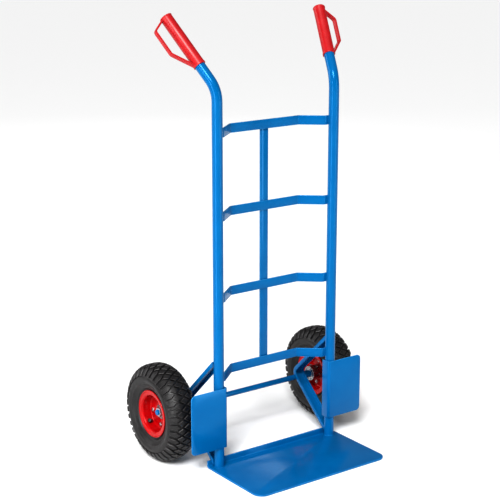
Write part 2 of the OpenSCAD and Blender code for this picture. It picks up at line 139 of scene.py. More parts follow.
def blend_colours(
    tree: bpy.types.NodeTree, mask: object, low: object, high: object
) -> bpy.types.NodeSocket:
    """Mixes two colours by a mask.

    Args:
        tree: The material's node tree.
        mask: Socket or number, 0 for low and 1 for high.
        low: Colour or socket where the mask is 0.
        high: Colour or socket where the mask is 1.

    Returns:
        The mixed colour's socket.
    """
    mix = add_node(tree, "ShaderNodeMix", {0: mask, 6: low, 7: high}, data_type="RGBA")
    return mix.outputs[2]


def remap(
    tree: bpy.types.NodeTree, value: object, source: tuple[float, float], target: tuple[float, float] = FULL
) -> bpy.types.NodeSocket:
    """Maps a value from one range to another, clamped.

    Args:
        tree: The material's node tree.
        value: The socket to map.
        source: The lowest and highest value that comes in.
        target: What they become.

    Returns:
        The mapped value's socket.
    """
    ends = {1: source[0], 2: source[1], 3: target[0], 4: target[1]}
    return add_node(tree, "ShaderNodeMapRange", {0: value, **ends}).outputs[0]


@dataclass(frozen=True)
class Finish:
    """A material and how its surface was made.

    Attributes:
        name: Material's name.
        colour: Main sRGB colour.
        tone: sRGB colour of the second tone that the main one drifts to.
        rough: Lowest and highest roughness.
        mottle_mm: Size of the patches in which tone and roughness drift.
        grain_mm: Size of the surface's fine relief.
        grain_depth_mm: Depth of that relief.
        highlight_and_scratch_colour: sRGB colour of the painted edge highlight and of the scratches.
        edge_highlight_share: How strongly the rounded edges take the painted highlight.
        metallic: 1 for bare metal.
        shine: sRGB colour of what it mirrors when seen face on.
        scratch: Strength of the fine handling scratches.
    """

    name: str
    colour: str
    tone: str
    rough: tuple[float, float]
    mottle_mm: float
    grain_mm: float
    grain_depth_mm: float
    highlight_and_scratch_colour: str = "ffffff"
    edge_highlight_share: float = 0.0
    metallic: float = 0.0
    shine: str = "ffffff"
    scratch: float = 0.0

    def material(self) -> bpy.types.Material:
        """Builds the material, once.

        Returns:
            The material, new or as it was built before.
        """
        known = bpy.data.materials.get(self.name)
        if known is not None:
            return known
        made = bpy.data.materials.new(self.name)
        made.use_nodes = True
        tree = made.node_tree
        tree.nodes.clear()
        place = add_node(tree, "ShaderNodeTexCoord").outputs["Object"]
        mottle = self.noise(tree, place, self.mottle_mm, MOTTLE_DETAIL)
        grain = self.noise(tree, place, self.grain_mm, GRAIN_DETAIL)
        colour = blend_colours(tree, remap(tree, mottle, TONE_BAND), linear(self.colour), linear(self.tone))
        rough = remap(tree, mottle, ROUGH_BAND, self.rough)
        if self.scratch:
            colour, rough = self.scratched(tree, place, colour, rough)
        # Painted highlight: the rounded edges turn paler, unevenly, as if they caught the light
        if self.edge_highlight_share:
            colour = self.paint_edge_highlight(tree, mottle, colour)
        relief = {"Strength": 1.0, "Distance": self.grain_depth_mm * MM, "Height": grain}
        bump = add_node(tree, "ShaderNodeBump", relief)
        shader = add_node(
            tree,
            "ShaderNodeBsdfPrincipled",
            {
                "Base Color": colour,
                "Roughness": rough,
                "Metallic": self.metallic,
                "Specular Tint": linear(self.shine),
                "Normal": bump.outputs[0],
            },
        )
        add_node(tree, "ShaderNodeOutputMaterial", {"Surface": shader.outputs[0]})
        return made

    @staticmethod
    def noise(
        tree: bpy.types.NodeTree, place: bpy.types.NodeSocket, size_mm: float, detail: float
    ) -> bpy.types.NodeSocket:
        """Noise with patches of size_mm."""
        pattern = {"Vector": place, "Scale": per_metre(size_mm), "Detail": detail}
        return add_node(tree, "ShaderNodeTexNoise", pattern).outputs[0]

    def paint_edge_highlight(
        self, tree: bpy.types.NodeTree, mottle: bpy.types.NodeSocket, colour: bpy.types.NodeSocket
    ) -> bpy.types.NodeSocket:
        """Paints a highlight on the rounded edges, unevenly.

        Args:
            tree: The material's node tree.
            mottle: The noise that the painted highlight follows.
            colour: The surface's colour.

        Returns:
            The colour with its painted edge highlight.
        """
        edge = add_node(tree, "ShaderNodeAttribute", attribute_name=EDGE_ATTRIBUTE).outputs["Fac"]
        uneven = remap(tree, mottle, EDGE_HIGHLIGHT_BAND, (LEAST_EDGE_HIGHLIGHT, 1.0))
        highlight_strength = add_node(tree, "ShaderNodeMath", {0: edge, 1: uneven}, operation="MULTIPLY").outputs[0]
        share = remap(tree, highlight_strength, FULL, (0.0, self.edge_highlight_share))
        return blend_colours(tree, share, colour, linear(self.highlight_and_scratch_colour))

    def scratched(
        self,
        tree: bpy.types.NodeTree,
        place: bpy.types.NodeSocket,
        colour: bpy.types.NodeSocket,
        rough: bpy.types.NodeSocket,
    ) -> tuple[bpy.types.NodeSocket, bpy.types.NodeSocket]:
        """Adds sparse hairline scratches that are paler and duller than the surface.

        Args:
            tree: The material's node tree.
            place: Object coordinates.
            colour: The surface's colour.
            rough: The surface's roughness.

        Returns:
            The colour and the roughness with the scratches.
        """
        along, across = per_metre(SCRATCH_LENGTH_MM), per_metre(SCRATCH_WIDTH_MM)
        turned = add_node(
            tree,
            "ShaderNodeMapping",
            {"Vector": place, "Rotation": SCRATCH_TURN, "Scale": (along, across, across)},
        ).outputs[0]
        streaks = {"Vector": turned, "Scale": 1.0, "Detail": SCRATCH_DETAIL}
        lines = add_node(tree, "ShaderNodeTexNoise", streaks)
        patches = self.noise(tree, place, SCRATCH_PATCH_MM, SCRATCH_DETAIL)
        line_mask = remap(tree, lines.outputs[0], SCRATCH_LINES)
        patch_mask = remap(tree, patches, SCRATCH_PATCHES, (0.0, self.scratch))
        masks = {0: line_mask, 1: patch_mask}
        mask = add_node(tree, "ShaderNodeMath", masks, operation="MULTIPLY").outputs[0]
        dulled = {0: mask, 1: SCRATCH_DULLNESS, 2: rough}
        dull = add_node(tree, "ShaderNodeMath", dulled, operation="MULTIPLY_ADD").outputs[0]
        return blend_colours(tree, mask, colour, linear(self.highlight_and_scratch_colour)), dull


# Powder coat on steel: an even, glossy blue with a faint orange peel, and a painted highlight in
# pale blue on its rounded edges. The peel is drawn coarser than it is, so that it shows.
FRAME_PAINT = Finish(
    name="powder_coat_gloss_blue",
    colour="006299",
    tone="00669d",
    rough=(0.13, 0.19),
    mottle_mm=60.0,
    grain_mm=5.0,
    grain_depth_mm=0.004,
    highlight_and_scratch_colour="4aa3dc",
    edge_highlight_share=0.6,
    shine="70c8ff",
)
# Wet paint on pressed steel: a deep, glossy red with a few fine scratches from handling, and a painted
# highlight in pale red on its rounded edges
RIM_PAINT = Finish(
    name="enamel_gloss_red",
    colour="a3040a",
    tone="ad070d",
    rough=(0.15, 0.22),
    mottle_mm=30.0,
    grain_mm=3.0,
    grain_depth_mm=0.005,
    highlight_and_scratch_colour="e8606a",
    edge_highlight_share=0.5,
    shine="ff9a9a",
    scratch=0.05,
)
# Soft moulded vinyl: a satin red with the fine grain of the mould, and a painted highlight in pale red on
# its rounded edges
GRIP_VINYL = Finish(
    name="pvc_moulded_red",
    colour="a80912",
    tone="b20e17",
    rough=(0.33, 0.42),
    mottle_mm=25.0,
    grain_mm=2.5,
    grain_depth_mm=0.03,
    highlight_and_scratch_colour="e8505a",
    edge_highlight_share=0.35,
)
# Tyre rubber: a dusty, very dark grey, matt where it was moulded, with a painted highlight in grey on the
# rounded edges of its tread blocks
TYRE_RUBBER = Finish(
    name="rubber_tyre_black",
    colour="100f10",
    tone="181617",
    rough=(0.36, 0.55),
    mottle_mm=14.0,
    grain_mm=2.0,
    grain_depth_mm=0.08,
    highlight_and_scratch_colour="4a4748",
    edge_highlight_share=0.6,
)
# Butyl and moulded plastic of the valve: black with a soft shine
VALVE_RUBBER = Finish(
    name="rubber_valve_black",
    colour="121112",
    tone="1b1a1b",
    rough=(0.35, 0.5),
    mottle_mm=6.0,
    grain_mm=1.5,
    grain_depth_mm=0.03,
)
# Zinc plate on steel fasteners: bright and slightly blue, with cloudy patches and a painted highlight on the
# rounded edges
ZINC_PLATE = Finish(
    name="steel_zinc_plated",
    colour="c9ccd0",
    tone="b3b8be",
    rough=(0.2, 0.36),
    mottle_mm=5.0,
    grain_mm=1.5,
    grain_depth_mm=0.01,
    highlight_and_scratch_colour="eceef0",
    edge_highlight_share=0.4,
    metallic=1.0,
)
# Ground steel of the bearing rings and the hub tube, with a painted highlight on the rounded edges
TURNED_STEEL = Finish(
    name="steel_turned",
    colour="a9aaac",
    tone="97989b",
    rough=(0.22, 0.34),
    mottle_mm=8.0,
    grain_mm=1.2,
    grain_depth_mm=0.01,
    highlight_and_scratch_colour="dcdcdc",
    edge_highlight_share=0.4,
    metallic=1.0,
)

SLOT_FINISH = {
    "frame_paint": FRAME_PAINT,
    "rim_paint": RIM_PAINT,
    "grip_vinyl": GRIP_VINYL,
    "tyre_rubber": TYRE_RUBBER,
    "inner_tube_rubber": VALVE_RUBBER,
    "valve_rubber": VALVE_RUBBER,
    "bearing_steel": TURNED_STEEL,
    "zinc": ZINC_PLATE,
}
NODE_SLOT = {part["node"]: part["material_slot"] for part in frame["record"]["subparts"]}
NODE_BODY = {node: body for body, nodes in frame["record"]["behaviour"]["bodies"].items() for node in nodes}


# ---- pieces ----

# Distance at which a CAD mesh's corners are merged, and the turn below which its faces are one
MERGE = 0.002 * MM
FLAT_DEG = 0.5
# Weld beads: sides round the bead, height of the ripples and size of the ends as shares of its
# radius, distance between ripples, the turn that stays sharp, and distance between its points
BEAD_SIDES = 8
BEAD_RIPPLE = 0.14
BEAD_END = 0.6
BEAD_PITCH = 3.0 * MM
BEAD_SHARP_DEG = 80.0
SEAM_STEP = 1.0 * MM


def finish_piece(
    name: str,
    shape: bmesh.types.BMesh,
    slot: str,
    body: str,
    stands_for: Iterable[str] = (),
    sharp_deg: float = 35.0,
) -> bpy.types.Object:
    """Makes a mesh object of a shape, dresses it and puts it on its body.

    Args:
        name: The piece's name.
        shape: The finished shape, in place. It is freed.
        slot: The record's material slot that it takes its finish from.
        body: The CAD body that it rides on.
        stands_for: The CAD nodes that it replaces.
        sharp_deg: Edges that turn by more than this stay sharp.

    Returns:
        The new object.
    """
    mesh = bpy.data.meshes.new(name)
    shape.to_mesh(mesh)
    shape.free()
    mesh.shade_smooth()
    mesh.set_sharp_from_angle(angle=math.radians(sharp_deg))
    piece = bpy.data.objects.new(name, mesh)
    bpy.context.scene.collection.objects.link(piece)
    mesh.materials.append(SLOT_FINISH[slot].material())
    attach(piece, body)
    if stands_for:
        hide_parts(*stands_for)
    log.info("%s: %d faces on %s", name, len(mesh.polygons), body)
    return piece


def mark_edges(shape: bmesh.types.BMesh, faces: Iterable[bmesh.types.BMFace]) -> None:
    """Marks faces as rounded edges, for the finishes that paint a highlight on them.

    Args:
        shape: The shape that the faces belong to.
        faces: The faces on its rounded edges.
    """
    layer = shape.faces.layers.float.get(EDGE_ATTRIBUTE)
    for face in faces:
        face[layer] = 1.0


def soften(shape: bmesh.types.BMesh, width: float, segments: int = 2, least_deg: float = 30.0) -> None:
    """Rounds the shape's sharp edges and marks them for the painted edge highlight.

    Args:
        shape: The shape to change.
        width: Width of the rounding, in metres.
        segments: Faces across the rounding.
        least_deg: Edges that turn by less than this are left alone.
    """
    least = math.radians(least_deg)
    shape.faces.layers.float.new(EDGE_ATTRIBUTE)
    edges = [e for e in shape.edges if e.is_manifold and e.calc_face_angle(0.0) > least]
    made = bmesh.ops.bevel(
        shape,
        geom=edges,
        offset=width,
        offset_type="OFFSET",
        segments=segments,
        profile=0.5,
        affect="EDGES",
        clamp_overlap=True,
        material=-1,
    )
    mark_edges(shape, made["faces"])


def softened_node(node: str, width: float, segments: int = 2) -> bpy.types.Object:
    """Replaces a CAD node with a copy whose edges are rounded as the real, painted ones are.

    Args:
        node: The CAD node's name.
        width: Width of the rounding, in metres.
        segments: Faces across the rounding.

    Returns:
        The piece that stands for the node.
    """
    shape = bmesh.new()
    shape.from_mesh(frame["nodes"][node].data)
    bmesh.ops.remove_doubles(shape, verts=shape.verts, dist=MERGE)
    bmesh.ops.dissolve_limit(shape, angle_limit=math.radians(FLAT_DEG), verts=shape.verts, edges=shape.edges)
    soften(shape, width, segments)
    return finish_piece(f"{node}_piece", shape, NODE_SLOT[node], NODE_BODY[node], [node])


def bead(name: str, path: list[Vector], radius: float) -> bpy.types.Object:
    """Lays a painted weld bead with its ripples along a path on the frame.

    Args:
        name: The piece's name.
        path: Points about SEAM_STEP apart along the seam.
        radius: Radius of the bead.

    Returns:
        The bead.
    """
    shape = bmesh.new()
    stations = []
    run = 0.0
    for i, point in enumerate(path):
        ahead = path[min(i + 1, len(path) - 1)] - path[max(i - 1, 0)]
        if i:
            run += (point - path[i - 1]).length
        swell = radius * (1 + BEAD_RIPPLE * math.cos(2 * math.pi * run / BEAD_PITCH))
        end_taper = BEAD_END if i in (0, len(path) - 1) else 1.0
        turn = ahead.to_track_quat("Z", "Y").to_matrix().to_4x4()
        stations.append(Matrix.Translation(point) @ turn @ Matrix.Scale(swell * end_taper, 4))
    bmesh.ops.create_circle(shape, cap_ends=False, segments=BEAD_SIDES, radius=1.0, matrix=stations[0])
    edges = shape.edges[:]
    for before, after in zip(stations, stations[1:]):
        grown = bmesh.ops.extrude_edge_only(shape, edges=edges)["geom"]
        ring = [g for g in grown if isinstance(g, bmesh.types.BMVert)]
        edges = [g for g in grown if isinstance(g, bmesh.types.BMEdge)]
        bmesh.ops.transform(shape, matrix=after @ before.inverted(), verts=ring)
    bmesh.ops.holes_fill(shape, edges=shape.edges, sides=BEAD_SIDES)
    bmesh.ops.recalc_face_normals(shape, faces=shape.faces)
    return finish_piece(name, shape, "frame_paint", "frame", sharp_deg=BEAD_SHARP_DEG)


def straight(start: Vector, end: Vector) -> list[Vector]:
    """Points from start to end, about SEAM_STEP apart."""
    count = max(2, round((end - start).length / SEAM_STEP))
    return [start.lerp(end, i / count) for i in range(count + 1)]


# ---- the welded frame ----


@dataclass
class WeldedFrame:
    """The frame's flat bars, plates and brackets, with the beads that join them to the tubes.

    Attributes:
        edge: Rounding of the flat bars' and plates' edges.
        bead_r: Radius of the beads at the tubes' feet and at the axle.
        crossbar_bead: Radius of the crossbars' beads, as a share of bead_r.
        light_bead: Radius of the legs' and the strip's beads, as a share of bead_r.
        crossbars: Number of crossbars.
        upper_leg_deg: Slope of the brackets' upper leg.
        lower_leg_deg: Slope of the brackets' lower leg.
        foot_arc_deg: Where the bead round a tube's foot begins and ends.
        leg_arc_deg: Where the bead of a bracket's leg begins and ends, round the tube.
        arc_step_deg: Turn between two points of those beads.
        seat_in: How far inside the axle's outline its two beads lie, as a share of its radius.
        seat_apart: How far they lie from its middle, as a share of its radius.
    """

    edge: float = 0.7 * MM
    bead_r: float = 1.7 * MM
    crossbar_bead: float = 0.7
    light_bead: float = 0.8
    crossbars: int = 4
    upper_leg_deg: float = 44.0
    lower_leg_deg: float = 42.0
    foot_arc_deg: tuple[int, int] = (-205, 26)
    leg_arc_deg: tuple[int, int] = (-58, 74)
    arc_step_deg: int = 4
    seat_in: float = 0.72
    seat_apart: float = 0.74

    def build(self) -> None:
        """Builds and dresses every piece of the frame."""
        for node in (*self.crossbar_nodes(), "centre_strip", "toe_plate"):
            softened_node(node, self.edge)
        for side in Side:
            softened_node(side.node("wheel_guard"), self.edge)
            softened_node(side.node("axle_bracket"), self.edge)
            self.weld_side(side)
        self.weld_strip()

    def crossbar_nodes(self) -> list[str]:
        """Names of the crossbars' nodes."""
        return [f"crossbar_{i}" for i in range(1, self.crossbars + 1)]

    def arc(self, ends_deg: tuple[int, int]) -> list[float]:
        """Angles of a bead that goes round a tube, in radians."""
        return [math.radians(a) for a in range(*ends_deg, self.arc_step_deg)]

    def tube(self, side: Side) -> tuple[float, float]:
        """Finds an upright's tube.

        Args:
            side: The side of the truck.

        Returns:
            X of the tube's centre line and the tube's radius.
        """
        low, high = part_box(side.node("upright"))
        radius = -low.y
        inner = high.x if side is Side.LEFT else low.x
        return inner + side.value * radius, radius

    def weld_side(self, side: Side) -> None:
        """Lays the beads between one tube and what is welded to it.

        Args:
            side: The side of the truck.
        """
        centre_x, radius = self.tube(side)
        foot_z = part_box(side.node("upright"))[0].z
        foot = [
            Vector((centre_x + radius * math.cos(a), radius * math.sin(a), foot_z))
            for a in self.arc(self.foot_arc_deg)
        ]
        bead(side.node("weld_foot"), foot, self.bead_r)
        for node in self.crossbar_nodes():
            low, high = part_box(node)
            seam_x = centre_x - side.value * math.sqrt(radius**2 - low.y**2)
            ends = [Vector((seam_x, low.y, z)) for z in (low.z + self.bead_r, high.z - self.bead_r)]
            bead(side.node(f"weld_{node}"), straight(*ends), self.crossbar_bead * self.bead_r)
        self.weld_leg(side, "weld_upper_leg", 1, self.upper_leg_deg)
        self.weld_leg(side, "weld_lower_leg", -1, self.lower_leg_deg)
        self.weld_axle(side)

    def weld_leg(self, side: Side, name: str, up: int, slope_deg: float) -> None:
        """Lays the bead where the outer face of a bracket's leg meets the tube.

        Args:
            side: The side of the truck.
            name: The bead's name.
            up: 1 for the upper leg, -1 for the lower.
            slope_deg: The leg's slope.
        """
        centre_x, radius = self.tube(side)
        low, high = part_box(side.node("axle_bracket"))
        start_z = high.z if up > 0 else low.z
        points = []
        for angle in self.arc(self.leg_arc_deg):
            y = radius * math.cos(angle)
            z = start_z - up * (y - low.y) * math.tan(math.radians(slope_deg))
            points.append(Vector((centre_x + side.value * radius * math.sin(angle), y, z)))
        bead(side.node(name), points, self.light_bead * self.bead_r)

    def weld_axle(self, side: Side) -> None:
        """Lays the two beads along the seat of the axle bar.

        Args:
            side: The side of the truck.
        """
        low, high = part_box(side.node("axle_bracket"))
        bar_low, bar_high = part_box("axle_bar")
        centre = (bar_low + bar_high) / 2
        bar_r = (bar_high.z - bar_low.z) / 2
        slope = math.radians(self.lower_leg_deg)
        along = Vector((0, math.cos(slope), math.sin(slope)))
        out = Vector((0, math.sin(slope), -math.cos(slope)))
        for name, sign in (("weld_axle_upper", 1), ("weld_axle_lower", -1)):
            seam = centre - out * self.seat_in * bar_r + along * sign * self.seat_apart * bar_r
            ends = [Vector((x, seam.y, seam.z)) for x in (low.x + self.bead_r, high.x - self.bead_r)]
            bead(side.node(name), straight(*ends), self.bead_r)

    def weld_strip(self) -> None:
        """Lays the short beads between the centre strip and the crossbars."""
        strip_low, strip_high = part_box("centre_strip")
        for i, node in enumerate(self.crossbar_nodes(), 1):
            low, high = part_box(node)
            bottom = max(low.z, strip_low.z) + 2 * self.bead_r
            top = min(high.z, strip_high.z) - 2 * self.bead_r
            for name, x in (("left", strip_low.x), ("right", strip_high.x)):
                ends = [Vector((x, strip_low.y, z)) for z in (bottom, top)]
                bead(f"weld_strip_{i}_{name}", straight(*ends), self.light_bead * self.bead_r)


@dataclass
class Axle:
    """The axle bar with its spacers, washers and nuts.

    Attributes:
        edge: Rounding of their edges.
    """

    edge: float = 0.6 * MM

    def build(self) -> None:
        """Builds and dresses what stands still on the axle."""
        softened_node("axle_bar", self.edge)
        for side in Side:
            for part in ("spacer", "axle_washer", "axle_nut"):
                softened_node(side.node(part), self.edge)


@dataclass
class Grips:
    """The two moulded grips with their guard loops.

    Attributes:
        edge: Rounding of their edges.
        edge_faces: Faces across that rounding.
    """

    edge: float = 1.2 * MM
    edge_faces: int = 3

    def build(self) -> None:
        """Builds and dresses both grips."""
        for side in Side:
            softened_node(side.node("grip"), self.edge, self.edge_faces)


# ---- wheels ----

# Rounding of the edges of a wheel's rims, bearings, fasteners and valve
WHEEL_EDGES = {
    "outer_rim": 0.5 * MM,
    "inner_rim": 0.5 * MM,
    "hub": 0.5 * MM,
    "outer_bearing": 0.3 * MM,
    "inner_bearing": 0.3 * MM,
    "rim_bolts": 0.4 * MM,
    "rim_nuts": 0.4 * MM,
    "valve_stem": 0.4 * MM,
    "valve_cap": 1.2 * MM,
}
# Distance at which the spun tyre's corners are merged
SPIN_MERGE = 0.001 * MM
# Least Z of the normal of a face that counts as a block's top
FACES_UP = 0.9


@dataclass
class Wheel:
    """One pneumatic wheel.

    Attributes:
        side: The side of the truck.
        tread_depth: Depth of the tread.
        shoulder_r: Radius of the tyre's shoulders, over the blocks.
        shoulder_deg: How far the shoulder turns before the sidewall begins.
        shoulder_steps: Faces across the shoulder.
        lug_root: Height of the rubber at the shoulder lugs' ends, as a share of the tread's depth.
        lug_root_from: Sine of the shoulder's angle from which that rubber rises.
        sidewall_bulge: How far the sidewall bulges.
        sidewall_mm: The sidewall's points: how far down it, as a share, and how proud in mm.
        neck_r: Radius at which the sidewall leaves the rim.
        bead_half: Half the distance between the tyre's beads, outside.
        bead_r: Radius of the bead seat.
        bead_round: Rounding between the neck and the bead.
        rim_gap: Gap between the tyre and its rim.
        wall: Thickness of the tyre's wall.
        blocks: Number of tread blocks around.
        block_steps: Faces of the carcass for each block.
        row: Distance between two rows of blocks, across the tread.
        groove: Width of the grooves.
        groove_share: How much of the groove each block gives up at its ends.
        lug_reach: How far the shoulder lugs reach down the sidewall from the middle of their row.
        lug_neck: Where a lug's point begins, before the middle of its row.
        lug_widths: Half width of a lug at its neck and at its end, as shares of a block's.
        block_sunk: How far the blocks sink into the carcass.
        block_taper: Size of a block's top against its foot, across and along.
        block_edge: Rounding of the edges of a block's top.
        block_strips: Strips that a block is cut into, so that it follows the crown.
        sharp_deg: Edges of the tyre that turn by more than this stay sharp.
    """

    side: Side
    tread_depth: float = 5.0 * MM
    shoulder_r: float = 36.0 * MM
    shoulder_deg: float = 98.0
    shoulder_steps: int = 16
    lug_root: float = 0.7
    lug_root_from: float = 0.92
    sidewall_bulge: float = 1.8 * MM
    sidewall_mm: tuple[tuple[float, float], ...] = (
        (0.2, 0.0),
        (0.24, 0.7),
        (0.32, 0.7),
        (0.36, 0.0),
        (0.6, 0.0),
        (0.76, 0.0),
        (0.8, 0.8),
        (0.88, 0.8),
        (0.92, 0.0),
    )
    neck_r: float = 65.5 * MM
    bead_half: float = 28.0 * MM
    bead_r: float = 50.8 * MM
    bead_round: float = 1.5 * MM
    rim_gap: float = 0.1 * MM
    wall: float = 8.0 * MM
    blocks: int = 36
    block_steps: int = 3
    row: float = 17.0 * MM
    groove: float = 4.0 * MM
    groove_share: float = 0.62
    lug_reach: float = 21.0 * MM
    lug_neck: float = 1.5 * MM
    lug_widths: tuple[float, float] = (0.86, 0.78)
    block_sunk: float = 0.6 * MM
    block_taper: tuple[float, float] = (0.93, 0.9)
    block_edge: float = 1.0 * MM
    block_strips: int = 4
    sharp_deg: float = 40.0

    def __post_init__(self) -> None:
        """Takes the wheel's place and size from the frame."""
        low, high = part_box(self.side.node("tyre"))
        bar_low, bar_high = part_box("axle_bar")
        axle_y = (bar_low.y + bar_high.y) / 2
        axle_z = (bar_low.z + bar_high.z) / 2
        self.centre = Vector(((low.x + high.x) / 2, axle_y, axle_z))
        self.radius = self.centre.z
        self.half_width = (high.x - low.x) / 2
        self.crown_r = self.radius - self.shoulder_r
        self.crown_half = self.half_width - self.shoulder_r

    def build(self) -> None:
        """Builds and dresses every piece of the wheel."""
        self.tyre()
        for part, width in WHEEL_EDGES.items():
            softened_node(self.side.node(part), width)

    def place(self, radius: float, across: float, angle: float) -> Vector:
        """Point of the wheel in the frame.

        Args:
            radius: Distance from the axle.
            across: Distance outward from the middle plane.
            angle: Angle from the rear, upward.

        Returns:
            The point.
        """
        spoke = Vector((0, math.cos(angle), math.sin(angle))) * radius
        return self.centre + spoke + Vector((self.side.value * across, 0, 0))

    def tread_point(self, across: float, along: float, height: float) -> Vector:
        """Point of the tread from its place on the unrolled tyre.

        Args:
            across: Distance from the tread's middle, over the crown.
            along: Distance around the tyre.
            height: Height above the bottom of the grooves.

        Returns:
            The point.
        """
        depth_r = self.shoulder_r - self.tread_depth + height
        over = abs(across) - self.crown_half
        sign = 1 if across >= 0 else -1
        angle = max(over, 0.0) / self.shoulder_r
        side_x = sign * (self.crown_half + depth_r * math.sin(angle)) if over > 0 else across
        radius = self.crown_r + depth_r * math.cos(angle)
        return self.place(radius, side_x, along / self.radius)

    def section(self) -> list[tuple[float, float]]:
        """Half section of the carcass, as radius and distance across.

        Returns:
            Its points from the middle of the tread's foot, round the bead, to the inside's middle.
        """
        base_r = self.shoulder_r - self.tread_depth
        half = [(self.crown_r + base_r, 0.0), (self.crown_r + base_r, self.crown_half)]
        for i in range(1, self.shoulder_steps + 1):
            angle = math.radians(self.shoulder_deg) * i / self.shoulder_steps
            rise = max(0.0, math.sin(angle) - self.lug_root_from) / (1 - self.lug_root_from)
            swell = base_r + self.lug_root * self.tread_depth * rise
            half.append((self.crown_r + swell * math.cos(angle), self.crown_half + swell * math.sin(angle)))
        low_r, low_x = half[-1]
        for share, proud in self.sidewall_mm:
            out = self.sidewall_bulge * math.sin(math.pi * share) + proud * MM
            down_r = low_r + (self.neck_r - low_r) * share
            half.append((down_r, low_x + (self.bead_half - low_x) * share + out))
        seat_r = self.bead_r + self.rim_gap
        seat_x = self.bead_half - self.rim_gap
        half += [
            (self.neck_r, self.bead_half),
            (self.neck_r - self.bead_round, seat_x),
            (seat_r, seat_x),
            (seat_r, self.bead_half - self.wall),
            (self.crown_r, self.half_width - self.wall),
            (self.crown_r + base_r - self.wall / 2, 0.0),
        ]
        return half

    def tyre(self) -> None:
        """Builds the tyre: a spun carcass with its tread blocks."""
        shape = bmesh.new()
        half = self.section()
        loop = half + [(r, -x) for r, x in reversed(half[1:-1])]
        verts = [shape.verts.new(self.place(r, x, 0.0)) for r, x in loop]
        edges = [shape.edges.new(ends) for ends in zip(verts, verts[1:] + verts[:1])]
        bmesh.ops.spin(
            shape,
            geom=verts + edges,
            cent=self.centre,
            axis=(1, 0, 0),
            dvec=(0, 0, 0),
            angle=2 * math.pi,
            steps=self.block_steps * self.blocks,
            use_merge=True,
            use_duplicate=False,
        )
        bmesh.ops.remove_doubles(shape, verts=shape.verts, dist=SPIN_MERGE)
        bmesh.ops.recalc_face_normals(shape, faces=shape.faces)
        shape.faces.layers.float.new(EDGE_ATTRIBUTE)
        self.add_tread(shape)
        bmesh.ops.recalc_face_normals(shape, faces=shape.faces)
        name, node, body = (self.side.node(part) for part in ("tyre_piece", "tyre", "wheel"))
        finish_piece(name, shape, "tyre_rubber", body, [node], self.sharp_deg)

    def add_tread(self, shape: bmesh.types.BMesh) -> None:
        """Adds the rows of tread blocks: three of diamonds, and one of lugs on each shoulder.

        Args:
            shape: The tyre's carcass.
        """
        pitch = 2 * math.pi * self.radius / self.blocks
        half_s = self.row - self.groove
        half_t = pitch / 2 - self.groove_share * self.groove
        neck_t, end_t = (share * half_t for share in self.lug_widths)
        diamond = [(-half_s, 0.0), (0.0, -half_t), (half_s, 0.0), (0.0, half_t)]
        lug = [
            (-half_s, 0.0),
            (-self.lug_neck, -neck_t),
            (self.lug_reach, -end_t),
            (self.lug_reach, end_t),
            (-self.lug_neck, neck_t),
        ]
        for row in (0, 1, -1, 2, -2):
            block = self.block(lug if abs(row) == 2 else diamond)
            for i in range(self.blocks):
                along = (i + (0.5 if row % 2 else 0.0)) * pitch
                self.lay_block(shape, block, row * self.row, along, -1 if row < 0 else 1)
            bpy.data.meshes.remove(block)

    def block(self, outline: list[tuple[float, float]]) -> bpy.types.Mesh:
        """Makes one flat tread block, as a mesh of across, along and height.

        Args:
            outline: The corners of its foot, across and along.

        Returns:
            The block's mesh.
        """
        shape = bmesh.new()
        shape.faces.layers.float.new(EDGE_ATTRIBUTE)
        corners = [shape.verts.new((s, t, -self.block_sunk)) for s, t in outline]
        base = shape.faces.new(corners)
        if base.normal.z < 0:
            base.normal_flip()
        grown = bmesh.ops.extrude_face_region(shape, geom=[base])["geom"]
        top = [g for g in grown if isinstance(g, bmesh.types.BMVert)]
        bmesh.ops.translate(shape, verts=top, vec=(0, 0, self.tread_depth + self.block_sunk))
        bmesh.ops.scale(shape, verts=top, vec=(*self.block_taper, 1.0))
        lid = [f for f in shape.faces if f.normal.z > FACES_UP and f.calc_center_median().z > 0]
        made = bmesh.ops.bevel(
            shape,
            geom=[e for f in lid for e in f.edges],
            offset=self.block_edge,
            offset_type="OFFSET",
            segments=1,
            profile=0.5,
            affect="EDGES",
            clamp_overlap=True,
            material=-1,
        )
        # The rounded edges of the block's top take the tyre's painted highlight
        mark_edges(shape, made["faces"])
        low = min(s for s, _ in outline)
        high = max(s for s, _ in outline)
        for i in range(1, self.block_strips):
            across = low + (high - low) * i / self.block_strips
            everything = shape.verts[:] + shape.edges[:] + shape.faces[:]
            bmesh.ops.bisect_plane(shape, geom=everything, plane_co=(across, 0, 0), plane_no=(1, 0, 0))
        bmesh.ops.recalc_face_normals(shape, faces=shape.faces)
        mesh = bpy.data.meshes.new("block")
        shape.to_mesh(mesh)
        shape.free()
        return mesh

    def lay_block(
        self, shape: bmesh.types.BMesh, block: bpy.types.Mesh, across: float, along: float, sign: int
    ) -> None:
        """Wraps a copy of a block onto the tyre.

        Args:
            shape: The tyre.
            block: The flat block.
            across: Where its middle goes, over the crown.
            along: Where its middle goes, around the tyre.
            sign: -1 to mirror the block across the tread.
        """
        wrapped = block.copy()
        for vert in wrapped.vertices:
            vert.co = self.tread_point(across + sign * vert.co.x, along + vert.co.y, vert.co.z)
        shape.from_mesh(wrapped)
        bpy.data.meshes.remove(wrapped)


# ---- studio ----


@dataclass(frozen=True)
class SoftLight:
    """One soft area light that faces the truck.

    Attributes:
        name: The light's name.
        place: Where it hangs.
        size: Its width and height.
        power: Its power in watts.
    """

    name: str
    place: tuple[float, float, float]
    size: tuple[float, float]
    power: float


SOFT_LIGHTS = (
    SoftLight("overhead", (0.0, 0.0, 4.2), (4.0, 4.0), 28.0),
    SoftLight("fill_rear", (-2.6, 3.0, 2.0), (2.0, 2.0), 45.0),
    SoftLight("strip_left", (-1.5, -0.35, 0.75), (0.35, 1.5), 14.0),
    SoftLight("strip_right", (0.95, -1.9, 0.85), (0.3, 1.6), 11.0),
    SoftLight("rear_card", (2.45, 4.45, 2.3), (1.3, 1.7), 10.0),
)


